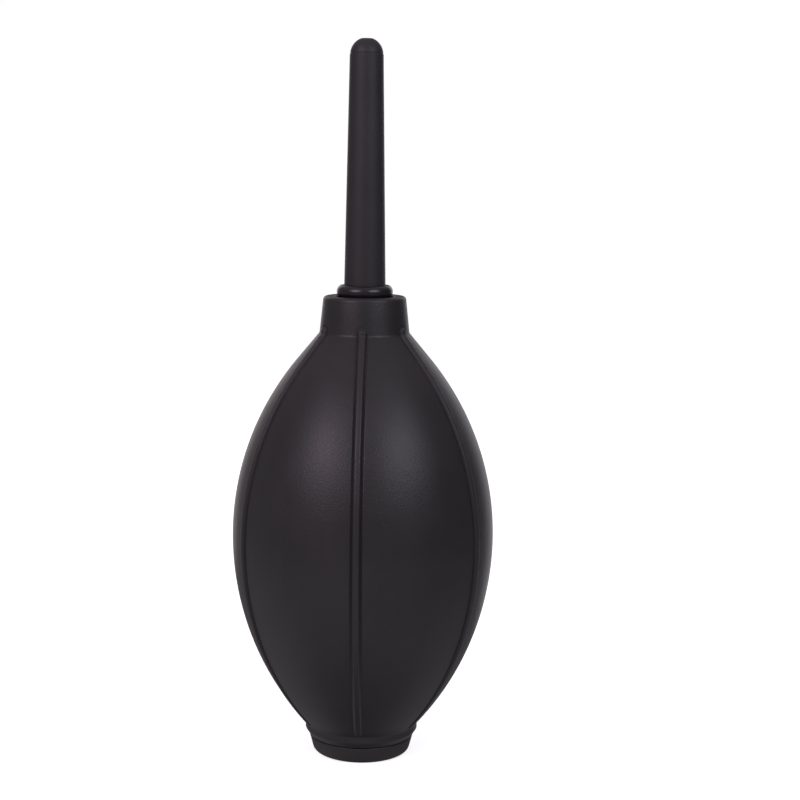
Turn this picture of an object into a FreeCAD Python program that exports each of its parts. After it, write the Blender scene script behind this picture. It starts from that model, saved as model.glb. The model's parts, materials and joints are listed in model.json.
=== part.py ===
"""Dust blower bulb: a ribbed silicone squeeze bulb with a soft bending nozzle and a one-way air inlet.

Frame: millimetres, +Z up, origin at the centre of the base's resting face. -Y is the front, where one of
the six ribs runs. The blower stands upright on its base plug and the nozzle points straight up.

The bulb is one hollow moulding: a rounded spindle made of two arcs, with a neck on top, a collar at the
bottom and six slim ribs. Its two side walls, where thumb and fingers press, are cut out as solids of their
own, so that a squeeze can be a sliding joint. The nozzle is one soft moulding too. It is divided into
short cups that nest in each other on spheres, so that it can bend like the soft tube.
"""

import FreeCAD
import Part

import math
import os

from FreeCAD import Vector

# Overall sizes
TOTAL_HEIGHT = 155.0
BODY_RADIUS = 28.3
EQUATOR_Z = 48.6
UPPER_ARC_RADIUS = 60.2
LOWER_ARC_RADIUS = 63.1
WALL = 2.5

# Neck of the bulb
NECK_ROOT_RADIUS = 9.45
NECK_TOP_RADIUS = 8.8
NECK_TOP_Z = 100.5
NECK_BORE_RADIUS = 5.05
RECESS_RADIUS = 6.6
RECESS_FLOOR_Z = 98.7
NECK_RIM_FILLET = 0.7
NECK_ROOT_FILLET = 0.8

# Collar and mouth at the bottom of the bulb
COLLAR_RADIUS = 12.35
COLLAR_LIP_Z = 3.85
COLLAR_LIP_FILLET = 1.0
MOUTH_RADIUS = 9.0
MOUTH_TOP_Z = 9.65

# Ribs
RIB_COUNT = 6
RIB_WIDTH = 1.5
RIB_PROUD = 0.65
RIB_ROOT_DEPTH = 1.2
RIB_EDGE_FILLET = 0.45
RIB_NOSE_Z = 93.5
RIB_NOSE_RADIUS = 9.85

# Side walls that are pressed
GRIP_HALF_WIDTH = 11.0
GRIP_HALF_HEIGHT = 30.0
GRIP_GAP = 0.3

# Ferrule: the hard sleeve that carries the nozzle in the neck
FERRULE_BORE_RADIUS = 1.7
FERRULE_SHANK_RADIUS = 5.0
BARB_BOTTOM_Z = 88.0
BARB_BOTTOM_RADIUS = 4.6
BARB_TOP_Z = 92.0
BARB_TOP_RADIUS = 5.8
SHOULDER_RADIUS = 5.5
BEAD_CENTRE_RADIUS = 4.58
BEAD_THICKNESS_RADIUS = 1.45
BEAD_Z = 101.85
POCKET_RADIUS = 4.53
POCKET_FLOOR_Z = 100.95
STEM_RADIUS = 2.6
STEM_TOP_Z = 107.0

# Nozzle
NOZZLE_FOOT_Z = 101.0
NOZZLE_FOOT_RADIUS = 4.47
NOZZLE_TAPER = 0.0178
DOME_RADIUS = 3.5
FOOT_BORE_RADIUS = 2.63
FOOT_BORE_TOP_Z = 107.1
ORIFICE_RADIUS = 1.1
ORIFICE_FILLET = 0.25
BORE_SHARE = 0.45
JOINT_COUNT = 10
FIRST_PIVOT_Z = 108.4
PIVOT_SPACING = 4.35
BALL_SHARE = 1.05
CUP_GAP = 0.05

# Base plug: closes the mouth and carries the inlet valve
PLUG_FOOT_RADIUS = 10.35
PLUG_FLANGE_RADIUS = 11.35
PLUG_FLANGE_TOP_Z = 3.8
PLUG_FOOT_CHAMFER = 0.4
SPIGOT_RADIUS = 8.97
PLUG_BARB_Z = 9.7
PLUG_BARB_RADIUS = 9.55
PLUG_TOP_Z = 11.8
PLUG_TOP_RADIUS = 8.7
CHAMBER_RADIUS = 6.7
SEAT_Z = 5.8
SEAT_UNDERSIDE_Z = 4.2
INTAKE_RADIUS = 7.4
PIN_RADIUS = 0.9
PIN_TOP_Z = 9.2
PORT_COUNT = 6
PORT_RADIUS = 1.1
PORT_CIRCLE_RADIUS = 3.3

# Inlet valve
DISC_RADIUS = 5.5
DISC_THICKNESS = 0.8
DISC_HOLE_RADIUS = 1.0
DISC_SEAT_GAP = 0.02
VALVE_LIFT = 1.3
CAGE_HEIGHT = 1.2
CAGE_RING_RADIUS = 6.66
CAGE_RING_INNER = 5.9
CAGE_HUB_RADIUS = 2.0
CAGE_HUB_HOLE = 0.93
CAGE_ARM_WIDTH = 1.2
CAGE_ARM_COUNT = 4

# Intake filter and grille
FILTER_RADIUS = 7.3
FILTER_THICKNESS = 0.8
GRILLE_RADIUS = 7.36
GRILLE_BOTTOM_Z = 1.0
GRILLE_PLATE = 1.2
GRILLE_RIM_INNER = 6.5
GRILLE_HOLE_RADIUS = 0.6
GRILLE_RINGS = ((0.0, 1), (2.1, 6), (4.2, 12))

FIT_GAP = 0.05


def at(radius, z):
    """Point of a profile, drawn in the XZ plane."""
    return Vector(radius, 0, z)


def line(start, end):
    return Part.LineSegment(start, end).toShape()


def arc(start, middle, end):
    return Part.Arc(start, middle, end).toShape()


def polyline(points):
    return [line(a, b) for a, b in zip(points, points[1:])]


def turned(edges):
    """Solid of revolution about Z from the closed outline that the edges make."""
    face = Part.Face(Part.Wire(edges))
    solid = face.revolve(Vector(0, 0, 0), Vector(0, 0, 1), 360)
    return Part.Solid(solid) if solid.ShapeType == "Shell" else solid


def disc(radius, bottom, height, x=0.0, y=0.0):
    return Part.makeCylinder(radius, height, Vector(x, y, bottom))


def around(shape, count, first=0.0):
    """Copies of a shape, evenly spaced about Z."""
    copies = []
    for index in range(count):
        copy = shape.copy()
        copy.rotate(Vector(0, 0, 0), Vector(0, 0, 1), first + index * 360.0 / count)
        copies.append(copy)
    return copies


def rim_edges(solid, radius, z, tolerance=0.02):
    """Full circles of a solid at one radius and height."""
    found = []
    for edge in solid.Edges:
        curve = edge.Curve
        if isinstance(curve, Part.Circle) and abs(curve.Radius - radius) < tolerance:
            if abs(curve.Center.z - z) < tolerance and abs(curve.Axis.z) > 0.99:
                found.append(edge)
    return found


def body_arc_radius(z):
    return UPPER_ARC_RADIUS if z >= EQUATOR_Z else LOWER_ARC_RADIUS


def body_radius_at(z, offset=0.0):
    """Radius of the bulb's body at a height, offset outwards along its arc's radius."""
    arc_radius = body_arc_radius(z)
    centre = BODY_RADIUS - arc_radius
    return centre + math.sqrt((arc_radius + offset) ** 2 - (z - EQUATOR_Z) ** 2)


def body_height_at(radius, upper, offset=0.0):
    """Height where the bulb's body has a radius, on its upper or lower arc."""
    arc_radius = UPPER_ARC_RADIUS if upper else LOWER_ARC_RADIUS
    reach = radius - (BODY_RADIUS - arc_radius)
    rise = math.sqrt((arc_radius + offset) ** 2 - reach**2)
    return EQUATOR_Z + rise if upper else EQUATOR_Z - rise


def body_arc(start_z, end_z, offset=0.0):
    """Arc of the body's outline between two heights on the same side of the equator."""
    middle_z = (start_z + end_z) / 2
    # The equator belongs to both arcs, so each end is measured on the arc of the middle point.
    arc_radius = body_arc_radius(middle_z)
    centre = BODY_RADIUS - arc_radius

    def point(z):
        return at(centre + math.sqrt((arc_radius + offset) ** 2 - (z - EQUATOR_Z) ** 2), z)

    return arc(point(start_z), point(middle_z), point(end_z))


def bulb_moulding():
    """The whole bulb before its ribs and its pressed walls: body, neck, collar and air space."""
    neck_root_z = body_height_at(NECK_ROOT_RADIUS, upper=True)
    collar_top_z = body_height_at(COLLAR_RADIUS, upper=False)
    ceiling_z = body_height_at(NECK_BORE_RADIUS, upper=True, offset=-WALL)
    floor_radius = body_radius_at(MOUTH_TOP_Z, offset=-WALL)
    edges = polyline([at(MOUTH_RADIUS, COLLAR_LIP_Z), at(COLLAR_RADIUS, COLLAR_LIP_Z),
                      at(COLLAR_RADIUS, collar_top_z)])
    edges += [body_arc(collar_top_z, EQUATOR_Z), body_arc(EQUATOR_Z, neck_root_z)]
    edges += polyline([at(NECK_ROOT_RADIUS, neck_root_z), at(NECK_TOP_RADIUS, NECK_TOP_Z),
                       at(RECESS_RADIUS, NECK_TOP_Z), at(RECESS_RADIUS, RECESS_FLOOR_Z),
                       at(NECK_BORE_RADIUS, RECESS_FLOOR_Z), at(NECK_BORE_RADIUS, ceiling_z)])
    edges += [body_arc(ceiling_z, EQUATOR_Z, -WALL), body_arc(EQUATOR_Z, MOUTH_TOP_Z, -WALL)]
    edges += polyline([at(floor_radius, MOUTH_TOP_Z), at(MOUTH_RADIUS, MOUTH_TOP_Z),
                       at(MOUTH_RADIUS, COLLAR_LIP_Z)])
    solid = turned(edges)
    solid = solid.makeFillet(NECK_ROOT_FILLET, rim_edges(solid, NECK_ROOT_RADIUS, neck_root_z))
    solid = solid.makeFillet(COLLAR_LIP_FILLET, rim_edges(solid, COLLAR_RADIUS, COLLAR_LIP_Z))
    return solid.makeFillet(NECK_RIM_FILLET, rim_edges(solid, NECK_TOP_RADIUS, NECK_TOP_Z))


def rib():
    """One rib in the +X half plane: a slim bar on the body with rounded edges and a round nose at the neck."""
    bottom_z = body_height_at(COLLAR_RADIUS, upper=False)
    outer = [body_arc(bottom_z, EQUATOR_Z, RIB_PROUD), body_arc(EQUATOR_Z, RIB_NOSE_Z, RIB_PROUD)]
    inner = [body_arc(RIB_NOSE_Z, EQUATOR_Z, -RIB_ROOT_DEPTH), body_arc(EQUATOR_Z, bottom_z, -RIB_ROOT_DEPTH)]
    ends = [line(at(body_radius_at(RIB_NOSE_Z, RIB_PROUD), RIB_NOSE_Z),
                 at(body_radius_at(RIB_NOSE_Z, -RIB_ROOT_DEPTH), RIB_NOSE_Z)),
            line(at(body_radius_at(bottom_z, -RIB_ROOT_DEPTH), bottom_z),
                 at(body_radius_at(bottom_z, RIB_PROUD), bottom_z))]
    outline = Part.Wire([outer[0], outer[1], ends[0], inner[0], inner[1], ends[1]])
    bar = Part.Face(outline).extrude(Vector(0, RIB_WIDTH, 0))
    bar.translate(Vector(0, -RIB_WIDTH / 2, 0))
    crests = [edge for edge in bar.Edges
              if isinstance(edge.Curve, Part.Circle) and edge.Curve.Radius > body_arc_radius(edge.CenterOfMass.z)]
    bar = bar.makeFillet(RIB_EDGE_FILLET, crests)
    nose_start = body_radius_at(RIB_NOSE_Z, -RIB_ROOT_DEPTH)
    nose = Part.makeCylinder(RIB_WIDTH / 2, RIB_NOSE_RADIUS - nose_start,
                             Vector(nose_start, 0, RIB_NOSE_Z), Vector(1, 0, 0))
    tip = [edge for edge in nose.Edges if abs(edge.CenterOfMass.x - RIB_NOSE_RADIUS) < 0.01]
    return bar.fuse(nose.makeFillet(RIB_EDGE_FILLET, tip))


def grip_cutter(side, growth):
    """Elliptical bar along X through one side wall, larger all round by growth."""
    centre = Vector(0, 0, EQUATOR_Z)
    ellipse = Part.Ellipse(Vector(0, 0, EQUATOR_Z + GRIP_HALF_HEIGHT + growth),
                           Vector(0, GRIP_HALF_WIDTH + growth, EQUATOR_Z), centre)
    face = Part.Face(Part.Wire(ellipse.toShape()))
    bar = face.extrude(Vector(side * 2 * BODY_RADIUS, 0, 0))
    return bar


def bulb_parts():
    """The bulb's moulding with ribs, and its two pressed walls."""
    moulding = bulb_moulding()
    walls = {side: moulding.common(grip_cutter(side, 0.0)) for side in (-1, 1)}
    ribs = around(rib(), RIB_COUNT, first=-90.0)
    shell = moulding.multiFuse(ribs).removeSplitter()
    for side in (-1, 1):
        shell = shell.cut(grip_cutter(side, GRIP_GAP))
    return {"bulb_shell": shell, "left_grip_wall": walls[-1], "right_grip_wall": walls[1]}


def ferrule():
    """Hard sleeve in the neck: barb, shank, round bead, pocket for the nozzle's foot and a hollow stem."""
    shoulder_z = RECESS_FLOOR_Z + FIT_GAP
    reach = SHOULDER_RADIUS - BEAD_CENTRE_RADIUS
    bead_start_z = BEAD_Z - math.sqrt(BEAD_THICKNESS_RADIUS**2 - reach**2)
    bead_top = at(BEAD_CENTRE_RADIUS, BEAD_Z + BEAD_THICKNESS_RADIUS)
    edges = polyline([at(FERRULE_BORE_RADIUS, BARB_BOTTOM_Z), at(BARB_BOTTOM_RADIUS, BARB_BOTTOM_Z),
                      at(BARB_TOP_RADIUS, BARB_TOP_Z), at(FERRULE_SHANK_RADIUS, BARB_TOP_Z),
                      at(FERRULE_SHANK_RADIUS, shoulder_z), at(SHOULDER_RADIUS, shoulder_z),
                      at(SHOULDER_RADIUS, bead_start_z)])
    edges.append(arc(at(SHOULDER_RADIUS, bead_start_z),
                     at(BEAD_CENTRE_RADIUS + BEAD_THICKNESS_RADIUS, BEAD_Z), bead_top))
    edges += polyline([bead_top, at(POCKET_RADIUS, bead_top.z), at(POCKET_RADIUS, POCKET_FLOOR_Z),
                       at(STEM_RADIUS, POCKET_FLOOR_Z), at(STEM_RADIUS, STEM_TOP_Z),
                       at(FERRULE_BORE_RADIUS, STEM_TOP_Z), at(FERRULE_BORE_RADIUS, BARB_BOTTOM_Z)])
    return turned(edges)


def nozzle_radius_at(z):
    return NOZZLE_FOOT_RADIUS - NOZZLE_TAPER * (z - NOZZLE_FOOT_Z)


def nozzle_bore_at(z):
    return max(ORIFICE_RADIUS, BORE_SHARE * nozzle_radius_at(z))


def pivot_z(index):
    return FIRST_PIVOT_Z + PIVOT_SPACING * index


def ball_radius(index):
    return BALL_SHARE * nozzle_radius_at(pivot_z(index))


def sphere_meets(radius_at, index, growth):
    """Height above a pivot where its sphere, grown by a gap, meets a tapering cylinder."""
    ball = ball_radius(index) + growth
    z = pivot_z(index) + ball
    for _ in range(20):
        z = pivot_z(index) + math.sqrt(ball**2 - radius_at(z) ** 2)
    return z


def sphere_arc(index, growth, outer_first):
    """Arc on a pivot's sphere between the nozzle's outside and its bore, with the points that it joins."""
    outer_z = sphere_meets(nozzle_radius_at, index, growth)
    inner_z = sphere_meets(nozzle_bore_at, index, growth)
    outer = at(nozzle_radius_at(outer_z), outer_z)
    inner = at(nozzle_bore_at(inner_z), inner_z)
    ball = ball_radius(index) + growth
    angle = (math.asin(outer.x / ball) + math.asin(inner.x / ball)) / 2
    middle = at(ball * math.sin(angle), pivot_z(index) + ball * math.cos(angle))
    ends = (outer, inner) if outer_first else (inner, outer)
    return arc(ends[0], middle, ends[1]), ends[0], ends[1]


def nozzle_foot():
    """Lowest piece of the nozzle: it sits in the ferrule's pocket, over the stem."""
    crown, outer, inner = sphere_arc(0, 0.0, outer_first=True)
    edges = polyline([at(FOOT_BORE_RADIUS, NOZZLE_FOOT_Z), at(NOZZLE_FOOT_RADIUS, NOZZLE_FOOT_Z), outer])
    edges.append(crown)
    edges += polyline([inner, at(nozzle_bore_at(FOOT_BORE_TOP_Z), FOOT_BORE_TOP_Z),
                       at(FOOT_BORE_RADIUS, FOOT_BORE_TOP_Z), at(FOOT_BORE_RADIUS, NOZZLE_FOOT_Z)])
    return turned(edges)


def nozzle_link(index):
    """Cup between two pivots: hollow below to nest on the piece under it, domed above."""
    socket, socket_inner, socket_outer = sphere_arc(index - 1, CUP_GAP, outer_first=False)
    crown, crown_outer, crown_inner = sphere_arc(index, 0.0, outer_first=True)
    return turned([socket, line(socket_outer, crown_outer), crown, line(crown_inner, socket_inner)])


def nozzle_end():
    """Rounded end of the nozzle, with the air outlet in its middle."""
    socket, socket_inner, socket_outer = sphere_arc(JOINT_COUNT - 1, CUP_GAP, outer_first=False)
    outlet = at(ORIFICE_RADIUS, TOTAL_HEIGHT)
    dome_z = TOTAL_HEIGHT - math.sqrt(DOME_RADIUS**2 - ORIFICE_RADIUS**2)
    shoulder = at(nozzle_radius_at(dome_z), dome_z)
    dome_start = at(DOME_RADIUS, dome_z)
    slope = math.radians(45)
    dome_middle = at(DOME_RADIUS * math.cos(slope), dome_z + DOME_RADIUS * math.sin(slope))
    edges = [socket, line(socket_outer, shoulder), line(shoulder, dome_start),
             arc(dome_start, dome_middle, outlet), line(outlet, socket_inner)]
    solid = turned(edges)
    return solid.makeFillet(ORIFICE_FILLET, rim_edges(solid, ORIFICE_RADIUS, TOTAL_HEIGHT))


def nozzle_parts():
    parts = {"nozzle_foot": nozzle_foot(), "nozzle_tip": nozzle_end()}
    for index in range(1, JOINT_COUNT):
        parts[f"nozzle_link_{index}"] = nozzle_link(index)
    return parts


def base_plug():
    """Plug in the bulb's mouth: flange, barbed spigot, valve seat with its ports and a guide pin."""
    edges = polyline([at(0, SEAT_UNDERSIDE_Z), at(INTAKE_RADIUS, SEAT_UNDERSIDE_Z), at(INTAKE_RADIUS, 0),
                      at(PLUG_FOOT_RADIUS - PLUG_FOOT_CHAMFER, 0), at(PLUG_FOOT_RADIUS, PLUG_FOOT_CHAMFER),
                      at(PLUG_FLANGE_RADIUS, PLUG_FLANGE_TOP_Z), at(SPIGOT_RADIUS, PLUG_FLANGE_TOP_Z),
                      at(SPIGOT_RADIUS, PLUG_BARB_Z), at(PLUG_BARB_RADIUS, PLUG_BARB_Z),
                      at(PLUG_TOP_RADIUS, PLUG_TOP_Z), at(CHAMBER_RADIUS, PLUG_TOP_Z),
                      at(CHAMBER_RADIUS, SEAT_Z), at(PIN_RADIUS, SEAT_Z), at(PIN_RADIUS, PIN_TOP_Z),
                      at(0, PIN_TOP_Z), at(0, SEAT_UNDERSIDE_Z)])
    port = disc(PORT_RADIUS, SEAT_UNDERSIDE_Z - 1, SEAT_Z - SEAT_UNDERSIDE_Z + 2, x=PORT_CIRCLE_RADIUS)
    return turned(edges).cut(Part.makeCompound(around(port, PORT_COUNT)))


def valve_disc():
    """Loose silicone disc that covers the ports and lifts to let air in."""
    bottom = SEAT_Z + DISC_SEAT_GAP
    whole = disc(DISC_RADIUS, bottom, DISC_THICKNESS)
    return whole.cut(disc(DISC_HOLE_RADIUS, bottom - 1, DISC_THICKNESS + 2))


def valve_cage():
    """Ring, hub and arms above the disc, which stop its lift."""
    bottom = SEAT_Z + DISC_SEAT_GAP + DISC_THICKNESS + VALVE_LIFT + DISC_SEAT_GAP
    ring = disc(CAGE_RING_RADIUS, bottom, CAGE_HEIGHT).cut(disc(CAGE_RING_INNER, bottom, CAGE_HEIGHT))
    arm = Part.makeBox(CAGE_RING_INNER + 0.2, CAGE_ARM_WIDTH, CAGE_HEIGHT,
                       Vector(0, -CAGE_ARM_WIDTH / 2, bottom))
    hub = disc(CAGE_HUB_RADIUS, bottom, CAGE_HEIGHT)
    whole = ring.multiFuse([hub] + around(arm, CAGE_ARM_COUNT)).removeSplitter()
    return whole.cut(disc(CAGE_HUB_HOLE, bottom - 1, CAGE_HEIGHT + 2))


def dust_filter():
    """Round filter pad under the valve seat."""
    return disc(FILTER_RADIUS, SEAT_UNDERSIDE_Z - FIT_GAP - FILTER_THICKNESS, FILTER_THICKNESS)


def intake_grille():
    """Perforated plate that snaps in under the filter and holds it up by its rim."""
    rim_top = SEAT_UNDERSIDE_Z - 2 * FIT_GAP - FILTER_THICKNESS
    body = disc(GRILLE_RADIUS, GRILLE_BOTTOM_Z, rim_top - GRILLE_BOTTOM_Z)
    body = body.cut(disc(GRILLE_RIM_INNER, GRILLE_BOTTOM_Z + GRILLE_PLATE, rim_top))
    holes = []
    for circle, count in GRILLE_RINGS:
        hole = disc(GRILLE_HOLE_RADIUS, GRILLE_BOTTOM_Z - 1, GRILLE_PLATE + 2, x=circle)
        holes += around(hole, count)
    return body.cut(Part.makeCompound(holes))


def main():
    parts = bulb_parts()
    parts["neck_ferrule"] = ferrule()
    parts.update(nozzle_parts())
    parts["base_plug"] = base_plug()
    parts["inlet_valve_disc"] = valve_disc()
    parts["valve_cage"] = valve_cage()
    parts["dust_filter"] = dust_filter()
    parts["intake_grille"] = intake_grille()
    os.makedirs("parts", exist_ok=True)
    for name, shape in sorted(parts.items()):
        shape.exportStep(f"parts/{name}.step")
        print(f"{name}: {len(shape.Solids)} solid, {shape.Volume:.1f} mm3, valid {shape.isValid()}")


main()
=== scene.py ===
"""Dust blower bulb: the looks, built around the packed frame.

The silicone bulb, the soft nozzle, the ferrule and the base plug are turned from short outlines by node
trees. The bulb's skin comes in two halves that meet along the front and back ribs. The nozzle's skin
comes in short sleeves, one across each bending joint.
"""

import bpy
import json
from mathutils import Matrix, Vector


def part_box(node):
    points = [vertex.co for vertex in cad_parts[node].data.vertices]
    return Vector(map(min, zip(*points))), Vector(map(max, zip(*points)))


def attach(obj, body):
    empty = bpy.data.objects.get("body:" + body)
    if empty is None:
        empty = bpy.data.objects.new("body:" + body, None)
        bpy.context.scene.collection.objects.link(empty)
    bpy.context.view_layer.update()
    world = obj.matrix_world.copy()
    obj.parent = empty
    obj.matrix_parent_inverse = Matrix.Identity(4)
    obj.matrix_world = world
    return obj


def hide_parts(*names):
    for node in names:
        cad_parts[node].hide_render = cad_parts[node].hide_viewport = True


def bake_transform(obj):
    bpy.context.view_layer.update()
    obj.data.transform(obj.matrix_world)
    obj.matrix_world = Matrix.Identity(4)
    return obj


bl_info = {
    "name": "Dust Blower Bulb",
    "version": (1, 0, 0),
    "blender": (4, 5, 0),
    "location": "View3D > Sidebar > Blower",
    "description": "Ribbed silicone squeeze bulb with a soft bending nozzle and a one-way air inlet",
    "category": "Add Mesh",
}

import json
import math

import bmesh
import bpy
from bpy.props import FloatProperty, FloatVectorProperty, IntProperty, PointerProperty
from mathutils import Matrix, Vector

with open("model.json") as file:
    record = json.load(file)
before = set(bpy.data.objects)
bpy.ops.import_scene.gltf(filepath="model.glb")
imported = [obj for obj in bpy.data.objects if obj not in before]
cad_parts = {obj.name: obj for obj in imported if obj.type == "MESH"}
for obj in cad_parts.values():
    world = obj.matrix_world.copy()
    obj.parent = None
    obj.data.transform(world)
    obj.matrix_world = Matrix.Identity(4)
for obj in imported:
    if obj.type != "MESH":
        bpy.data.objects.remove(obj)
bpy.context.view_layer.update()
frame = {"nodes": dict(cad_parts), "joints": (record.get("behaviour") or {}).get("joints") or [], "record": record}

MM = 0.001
MERGE_GAP = 0.001 * MM
HARD_EDGE = math.radians(55)
FRONT = -math.pi / 2
BEND_JOINTS = [joint for joint in frame["joints"] if joint["name"].startswith("nozzle_bend_")]


def cad_top(node):
    """Height of a CAD node's highest point."""
    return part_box(node)[1].z


def cad_bottom(node):
    """Height of a CAD node's lowest point."""
    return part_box(node)[0].z


# ---------------------------------------------------------------- sizes and colours to change


def size(name, description, default, low=0.0):
    """A length in metres, with a default given in millimetres."""
    return FloatProperty(name=name, description=description, default=default * MM, min=low, unit="LENGTH",
                         precision=5)


def colour(name, description, default):
    """A colour setting, in linear light."""
    return FloatVectorProperty(name=name, description=description, default=default, subtype="COLOR",
                               min=0.0, max=1.0, size=3)


def share(name, description, default):
    """A setting from 0 to 1."""
    return FloatProperty(name=name, description=description, default=default, min=0.0, max=1.0,
                         subtype="FACTOR")


def turn(name, description, degrees):
    """An angle, with its default given in degrees."""
    return FloatProperty(name=name, description=description, default=math.radians(degrees),
                         subtype="ANGLE")


class BulbShape(bpy.types.PropertyGroup):
    """Sizes of the bulb's moulding."""

    body_radius: FloatProperty(
        name="Body radius", description="Widest radius of the bulb between its ribs",
        default=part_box("right_grip_wall")[1].x + 0.1 * MM, unit="LENGTH", precision=5)
    equator_height: size("Equator height", "Height of the widest point above the base", 48.6)
    upper_arc_radius: size("Upper arc radius", "Radius of the outline's arc above the widest point", 60.2)
    shoulder_height: size("Shoulder height", "Height where the straight run to the neck starts", 87.0)
    lower_arc_radius: size("Lower arc radius", "Radius of the outline's arc below the widest point", 63.1)
    wall: size("Wall", "Thickness of the silicone wall", 2.5)
    neck_root_radius: size("Neck root radius", "Outer radius of the neck where it meets the body", 9.68)
    neck_top_radius: size("Neck top radius", "Outer radius of the neck at its rim", 8.85)
    neck_root_rounding: size("Neck root rounding", "Hollow rounding between the neck and the body", 1.15)
    rim_rounding: size("Rim rounding", "Rounding of the neck's outer rim", 0.75)
    recess_radius: size("Recess radius", "Radius of the open recess in the neck's top", 6.4)
    recess_depth: size("Recess depth", "Depth of the recess below the rim", 1.9)
    bore_radius: size("Bore radius", "Radius of the neck's bore under the recess", 5.05)
    collar_radius: size("Collar radius", "Outer radius of the collar at the foot", 12.35)
    collar_lip: size("Collar lip", "Height of the collar's lower edge above the base", 3.85)
    mouth_radius: size("Mouth radius", "Radius of the opening that the base plug fills", 9.0)
    mouth_top: size("Mouth top", "Height of the mouth's inner ledge above the base", 9.65)


class RibShape(bpy.types.PropertyGroup):
    """Sizes of the bulb's ribs and of the grooves beside them."""

    count: IntProperty(name="Ribs", description="Number of ribs round the whole bulb", default=6, min=2)
    columns: IntProperty(name="Columns", description="Mesh columns from one rib to the next", default=64,
                         min=8)
    zone: size("Rib zone", "Half width of the strip where the columns crowd together", 2.3)
    crest: size("Crest half width", "Half width of the rib's flat crest", 0.46)
    foot: size("Foot half width", "Half width of the rib where it meets its grooves", 0.93)
    height: size("Height", "Height of the rib above the panels", 0.50)
    groove_centre: size("Groove centre", "Distance of each groove from the rib's middle", 1.0)
    groove_reach: size("Groove reach", "Half width of each groove", 0.34)
    groove_depth: size("Groove depth", "Depth of each groove below the panels", 0.29)
    nose_height: size("Nose height", "Height of the middle of each rib's round upper end", 93.4)
    flare: share("Flare", "Share by which the ribs widen towards the neck", 0.12)


class NozzleShape(bpy.types.PropertyGroup):
    """Sizes of the soft nozzle."""

    foot_radius: size("Foot radius", "Outer radius of the nozzle at its foot", 4.47)
    taper: FloatProperty(name="Taper", description="Radius lost for each unit of height", default=0.0178)
    bore_share: share("Bore share", "Radius of the bore as a share of the outer radius", 0.45)
    dome_radius: size("Dome radius", "Radius of the rounded tip", 3.5)
    outlet_radius: size("Outlet radius", "Radius of the air outlet in the tip", 1.1)
    outlet_rounding: size("Outlet rounding", "Rounding of the outlet's edge", 0.12)
    columns: IntProperty(name="Columns", description="Mesh columns round the nozzle", default=96, min=12)
    row_step: size("Row step", "Height of one mesh row along the nozzle", 0.3)


class FerruleShape(bpy.types.PropertyGroup):
    """Sizes of the hard ferrule in the neck."""

    bead_centre_radius: size("Bead centre radius", "Radius of the bead's centre line", 4.93)
    bead_radius: size("Bead radius", "Half width of the round bead itself", 1.1)
    bead_rise: size("Bead rise", "Half height of the round bead itself", 1.4)
    bead_height: size("Bead height", "Height of the bead's centre line above the base", 101.7)
    step_radius: size("Step radius", "Radius of the small step under the bead", 5.35)
    shank_radius: size("Shank radius", "Radius of the shank in the neck's bore", 5.0)
    stem_radius: size("Stem radius", "Radius of the stem inside the nozzle's foot", 2.6)
    bore_radius: size("Bore radius", "Radius of the air bore", 1.7)


class PlugShape(bpy.types.PropertyGroup):
    """Sizes of the base plug and of the grille in it."""

    foot_radius: size("Foot radius", "Radius of the plug at its resting face", 10.5)
    flange_radius: size("Flange radius", "Radius of the plug under the bulb's collar", 11.5)
    flange_top: size("Flange top", "Height of the flange's upper face", 3.68)
    edge_rounding: size("Edge rounding", "Rounding of the plug's lower edge", 1.1)
    port_radius: size("Port radius", "Radius of each air port in the valve seat", 1.1)
    port_circle: size("Port circle", "Radius of the circle that the ports stand on", 3.3)
    port_count: IntProperty(name="Ports", description="Number of air ports", default=6, min=1)
    hole_radius: size("Grille hole radius", "Radius of each hole in the grille", 0.6)
    hole_pitch: size("Grille hole pitch", "Distance from one ring of holes to the next", 2.1)


class Finish(bpy.types.PropertyGroup):
    """Colours of the materials."""

    bulb: colour("Bulb silicone", "Colour of the bulb's silicone", (0.0215, 0.0195, 0.0215))
    nozzle: colour("Nozzle silicone", "Colour of the nozzle's silicone", (0.0225, 0.0205, 0.0235))
    ferrule: colour("Ferrule", "Colour of the ferrule's plastic", (0.012, 0.012, 0.014))
    plug: colour("Plug", "Colour of the base plug's plastic", (0.0166, 0.0152, 0.0157))
    valve: colour("Valve", "Colour of the valve disc's silicone", (0.42, 0.41, 0.39))
    felt: colour("Felt", "Colour of the dust filter's felt", (0.62, 0.60, 0.55))
    floor: colour("Floor", "Colour of the floor and backdrop", (0.93, 0.93, 0.93))


class StageLook(bpy.types.PropertyGroup):
    """Where the camera stands."""

    distance: size("Distance", "Distance of the camera from the bulb's axis", 346)
    height: size("Height", "Height of the camera above the base", 128)
    azimuth: turn("Azimuth", "Turn of the camera to the object's right", 2.8)
    pitch: turn("Pitch", "Downward tilt of the camera", 8.19)
    roll: turn("Roll", "Roll of the camera", 0.47)
    lens: FloatProperty(name="Lens", description="Focal length in millimetres", default=72.68)
    shift: FloatProperty(name="Shift", description="Sideways lens shift", default=0.0451)


SETTINGS = {"blower_bulb": BulbShape, "blower_ribs": RibShape, "blower_nozzle": NozzleShape,
            "blower_ferrule": FerruleShape, "blower_plug": PlugShape, "blower_finish": Finish,
            "blower_stage": StageLook}


# ---------------------------------------------------------------- node trees written as expressions


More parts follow.
